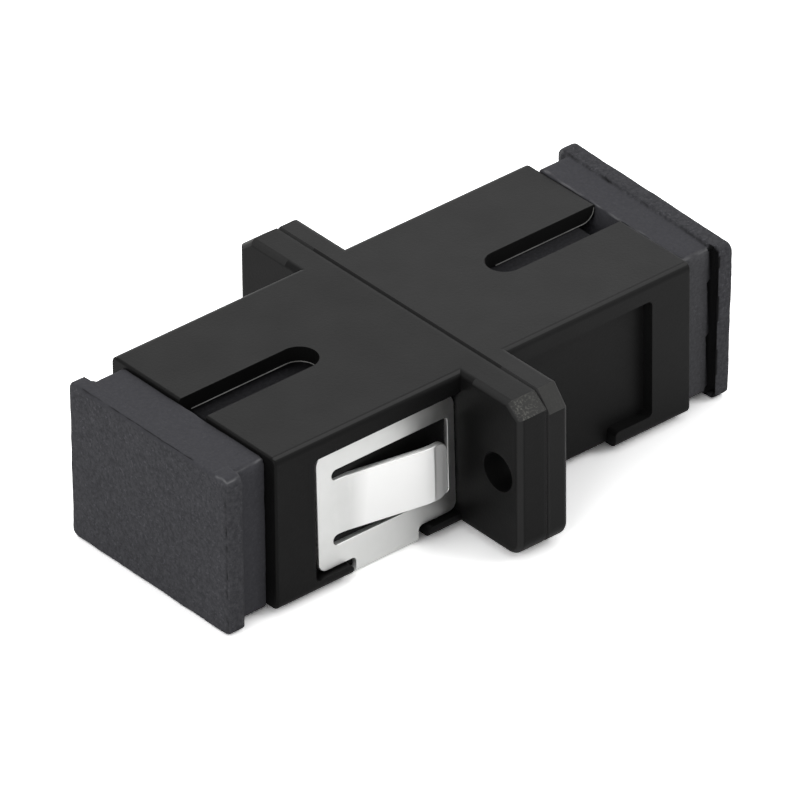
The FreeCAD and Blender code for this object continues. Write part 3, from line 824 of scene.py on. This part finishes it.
# vector noise starts from the clock unless it is given a seed
noise.seed_set(LINE_WAVER_SEED)
for side in ("left", "right"):
    cap = copy_of(f"{side}_dust_cap", f"{side}_moulded_cap")
    moulded(cap, metres(CAP_SKIN))
    lines = {
        kind: [[Vector(point) for point in line] for line in group]
        for kind, group in CAP_LINES[side].items()
    }
    shares = {kind: [0.0] * len(cap.data.vertices) for kind in ("seam_and_shade", "flash_and_light", "bloom")}
    moves = []
    for at, vertex in enumerate(cap.data.vertices):
        wave = 0.5 + 0.5 * noise.noise(vertex.co * per_metre(CAP_WAVE))
        pit = 0.5 + 0.5 * noise.noise(vertex.co * per_metre(CAP_PIT))
        depth = CAP_WAVE_DEPTH * wave + CAP_PIT_DEPTH * pit
        # painted shade: inside the socket the plug is PLUG_SHADE of the way to the seam's dark
        # grey
        seam_and_shade, flash_and_light, bloom = PLUG_SHADE, 0.0, 0.0
        own = own_place(side, vertex.co)
        out, across, up = own
        if out > SOCKET_MOUTH:
            waver = own + LINE_WAVER * noise.noise_vector(own * LINE_WAVER_RATE)
            breaks = noise.noise(own * LINE_BREAK_RATE + LINE_BREAK_START)
            kept = clamped(LINE_KEPT + LINE_KEPT_SPREAD * breaks)
            seam_gap, flash_gap = [
                min(line_distance(waver, line) for line in lines[kind])
                for kind in ("seam_and_shade", "flash_and_light")
            ]
            # the seam is a real groove, and its dark grey is shade painted along it
            seam_and_shade = exp(-((seam_gap / SEAM_WIDTH) ** 2)) * kept
            flash_and_light = exp(-((flash_gap / FLASH_WIDTH) ** 2)) * kept
            depth += SEAM_DEPTH * seam_and_shade
            depth *= 1.0 - flash_and_light
            # the left plate's top is scraped flat, short of its near corner
            on_top = SCRAPED_ACROSS[0] < across < SCRAPED_ACROSS[1] and up > SCRAPED_UP
            if side == "left" and on_top and out > SCRAPED_OUT:
                depth = max(depth, SCRAPED)
            # the collars and the left plate's top have a smooth bloom; the right collar's near
            # side is painted light instead, paler with some of the flash grey
            if side == "right" and out < COLLAR_END and across > COLLAR_SIDE:
                flash_and_light = max(flash_and_light, SIDE_PAINTED_LIGHT)
            elif out < COLLAR_END or side == "left" and up > PLATE_TOP:
                bloom = COLLAR_BLOOM * (1.0 - flash_and_light)
            # the right plate is undercut behind its near edge, and the undercut is painted full
            # shade
            on_back = UNDERCUT_OUT[0] < out < UNDERCUT_OUT[1] and vertex.normal.x < UNDERCUT_FACING
            if side == "right" and on_back and across > UNDERCUT_EDGE:
                inside = min(across - UNDERCUT_ACROSS[0], UNDERCUT_ACROSS[1] - across)
                depth += UNDERCUT * clamped(inside / UNDERCUT_SLOPE)
                seam_and_shade, flash_and_light = 1.0, 0.0
        shares["seam_and_shade"][at], shares["flash_and_light"][at], shares["bloom"][at] = seam_and_shade, flash_and_light, bloom
        moves.append(vertex.normal * (-depth / 1000))
    for vertex, move in zip(cap.data.vertices, moves):
        vertex.co += move
    for kind, values in shares.items():
        cap.data.attributes.new(kind, "FLOAT", "POINT").data.foreach_set("value", values)
    dress(cap, cap_rubber)
    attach(cap, f"{side}_cap")
    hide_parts(f"{side}_dust_cap")

# ------------------------------------------------------- floor, light, camera
# The adapter lies on a plain white table in an even white room. A wide soft
# panel behind it gives its top faces their sheen, and four smaller soft lamps
# hang over it and stand to its left, front right and rear left.
FLOOR_WHITE = 0.8
FLOOR_SEEN = 2.0
FLOOR_MIRRORED = 1.35
FLOOR_REACH = 3.0
ROOM_LIGHT = 0.5
ROOM_SEEN = 1.0
TARGET = Vector((0.25, 0.0, 5.05)) / 1000
CAMERA_DISTANCE = metres(678.62)
CAMERA_AZIMUTH = radians(-40.109)
CAMERA_ELEVATION = radians(33.279)
CAMERA_ROLL = radians(-0.607)
CAMERA_SIDE = metres(0.338)
CAMERA_LIFT = metres(0.938)
LENS = 594.18
SENSOR = 36.0

floor_mesh = bpy.data.meshes.new("table_top")
floor_mesh.from_pydata(
    [(x * FLOOR_REACH, y * FLOOR_REACH, 0.0) for x, y in ((-1, -1), (1, -1), (1, 1), (-1, 1))],
    [], [(0, 1, 2, 3)],
)
floor = bpy.data.objects.new("table_top", floor_mesh)
bpy.context.scene.collection.objects.link(floor)

# Painted board, matt and even. It looks whiter, also in the steel, than the light
# that it throws back, so that the shadow on it stays soft.
table_white, _ = new_material("matt_white_table")
rays = add_node(table_white, "ShaderNodeLightPath").outputs
mirrored = add_node(
    table_white, "ShaderNodeMath",
    links={0: rays["Is Glossy Ray"], 1: rays["Is Transmission Ray"]}, operation="MAXIMUM",
)
lift = add_node(
    table_white, "ShaderNodeMapRange", {"To Min": FLOOR_WHITE, "To Max": FLOOR_MIRRORED},
    {"Value": mirrored.outputs[0]},
)
lift = add_node(
    table_white, "ShaderNodeMix", {3: FLOOR_SEEN},
    {"Factor": rays["Is Camera Ray"], 2: lift.outputs["Result"]}, data_type="FLOAT",
)
white = add_node(
    table_white, "ShaderNodeCombineColor",
    links={name: lift.outputs[0] for name in ("Red", "Green", "Blue")},
)
matt = add_node(table_white, "ShaderNodeBsdfDiffuse", links={"Color": white.outputs["Color"]})
add_node(table_white, "ShaderNodeOutputMaterial", links={"Surface": matt.outputs["BSDF"]})
dress(floor, table_white)

room = bpy.data.worlds.new("white_room")
bpy.context.scene.world = room
room.use_nodes = True
room.node_tree.nodes.clear()
rays = add_node(room, "ShaderNodeLightPath").outputs
seen = rays["Is Camera Ray"]
for kind in ("Is Glossy Ray", "Is Transmission Ray"):
    seen = add_node(
        room, "ShaderNodeMath", links={0: seen, 1: rays[kind]}, operation="MAXIMUM",
    ).outputs[0]
air = add_node(
    room, "ShaderNodeMapRange", {"To Min": ROOM_LIGHT, "To Max": ROOM_SEEN}, {"Value": seen},
)
glow = add_node(
    room, "ShaderNodeBackground", {"Color": (1.0, 1.0, 1.0, 1.0)},
    {"Strength": air.outputs["Result"]},
)
add_node(room, "ShaderNodeOutputWorld", links={"Surface": glow.outputs["Background"]})

# square soft lamps: name, side in metres, watts, and place in metres
for name, size, watts, where in (
    ("rear_panel", 1.2, 6.2, (0.65, 0.77, 0.66)),
    ("overhead_softbox", 0.8, 0.6, (-0.1, 0.1, 0.9)),
    ("left_softbox", 0.6, 3.4, (-0.85, -0.3, 0.35)),
    ("front_right_softbox", 0.5, 2.3, (0.54, -0.55, 0.64)),
    ("rear_left_softbox", 0.45, 1.0, (-0.546, 0.64, 0.54)),
):
    lamp = bpy.data.lights.new(name, "AREA")
    lamp.shape = "SQUARE"
    lamp.size = size
    lamp.energy = watts
    holder = bpy.data.objects.new(name, lamp)
    holder.location = where
    holder.rotation_euler = (TARGET - Vector(where)).to_track_quat("-Z", "Y").to_euler()
    bpy.context.scene.collection.objects.link(holder)

back = Vector((0.0, -1.0, 0.0))
back.rotate(Matrix.Rotation(-CAMERA_ELEVATION, 3, "X"))
back.rotate(Matrix.Rotation(CAMERA_AZIMUTH, 3, "Z"))
right = Vector((0.0, 0.0, 1.0)).cross(back).normalized()
up = back.cross(right)
roll = Matrix.Rotation(CAMERA_ROLL, 3, back)
right.rotate(roll)
up.rotate(roll)

eye = bpy.data.cameras.new("camera")
eye.lens = LENS
eye.sensor_width = SENSOR
camera = bpy.data.objects.new("camera", eye)
camera.matrix_world = Matrix((right, up, back)).transposed().to_4x4()
camera.location = TARGET - right * CAMERA_SIDE - up * CAMERA_LIFT + back * CAMERA_DISTANCE
bpy.context.scene.collection.objects.link(camera)
bpy.context.scene.camera = camera

bpy.context.scene.view_settings.view_transform = "Standard"
